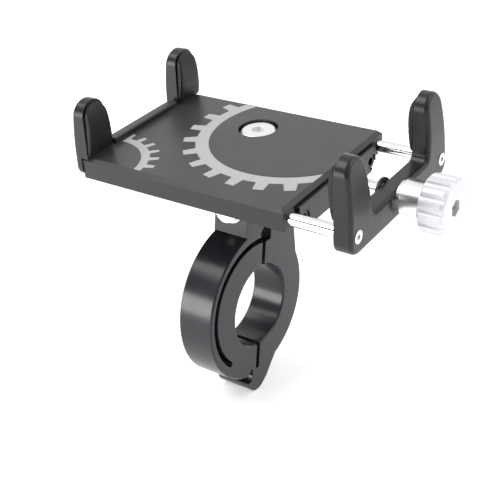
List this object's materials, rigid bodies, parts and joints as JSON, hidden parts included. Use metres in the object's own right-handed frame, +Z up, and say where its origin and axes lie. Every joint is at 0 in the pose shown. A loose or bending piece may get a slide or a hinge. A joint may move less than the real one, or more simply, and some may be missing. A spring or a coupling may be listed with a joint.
{
  "type": "handlebar phone mount",
  "caption": "Handlebar phone mount: flat deck with clawed ends, screw-driven sliding jaw, swivel and hinged bar clamp.",
  "frame": {"origin": "centre of the handlebar clamp's bore", "axes": "+X along the handlebar, from the fixed claws to the knob; +Y along the phone, towards the swivel's side of the deck; +Z up, from the clamp to the deck"},
  "size_m": [0.1166, 0.0597, 0.1073],
  "materials": {
    "black_anodised_deck": "satin black anodised, fine brushed, light engraved gears",
    "black_anodised_clamp": "bead-blasted black anodised",
    "black_anodised_claw": "satin black anodised",
    "pad_rubber": "soft black rubber",
    "stainless": "plain steel",
    "black_steel": "black oxide",
    "chromed_steel": "polished",
    "frosted_knob": "frosted silver anodised, scalloped rim",
    "friction_plastic": "low-friction washer"
  },
  "bodies": {
    "clamp_base": {"clamp_body": "black_anodised_clamp", "pivot_bolt": "stainless", "pivot_spring_washer": "stainless", "friction_washer": "friction_plastic"},
    "deck": {"deck_plate": "black_anodised_deck", "fixed_claw_front": "black_anodised_claw", "fixed_claw_rear": "black_anodised_claw", "fixed_pad_front": "pad_rubber", "fixed_pad_rear": "pad_rubber", "fixed_claw_screws": "stainless", "thread_block": "black_anodised_claw", "thread_block_screws": "black_steel"},
    "jaw": {"moving_jaw": "black_anodised_claw", "moving_pad_front": "pad_rubber", "moving_pad_rear": "pad_rubber", "guide_rod_front": "chromed_steel", "guide_rod_rear": "chromed_steel", "rod_end_screws": "stainless", "thrust_washer": "stainless"},
    "knob_screw": {"knob": "frosted_knob", "lead_screw": "stainless", "knob_collar": "chromed_steel", "screw_clip": "black_steel"},
    "clamp_half": {"clamp_jaw": "black_anodised_clamp"},
    "clamp_screw": {"clamp_bolt": "stainless", "clamp_bolt_washer": "stainless"}
  },
  "joints": [
    {"name": "deck_swivel", "type": "hinge", "parent": "clamp_base", "child": "deck", "pos_m": [0, 0.016, 0.0505], "axis": [0, 0, 1], "continuous": true},
    {"name": "knob_turn", "type": "hinge", "parent": "jaw", "child": "knob_screw", "pos_m": [0.0666, 0.0028, 0.0533], "axis": [1, 0, 0], "range_deg": [-5760, 6840]},
    {"name": "jaw_slide", "type": "slide", "parent": "deck", "child": "jaw", "axis": [1, 0, 0], "range_m": [-0.01285, 0.01525]},
    {"name": "clamp_hinge", "type": "hinge", "parent": "clamp_base", "child": "clamp_half", "pos_m": [0, -0.00568, -0.0264], "axis": [1, 0, 0], "range_deg": [0, 45]},
    {"name": "clamp_bolt_slide", "type": "slide", "parent": "clamp_half", "child": "clamp_screw", "axis": [0, -0.9744, 0.225], "range_m": [0, 0.01405]}
  ],
  "couplings": [
    {"joint": "jaw_slide", "follows": "knob_turn", "m_per_rad": 0.00012732},
    {"joint": "clamp_bolt_slide", "follows": "clamp_hinge", "m_per_rad": 0.017825}
  ]
}
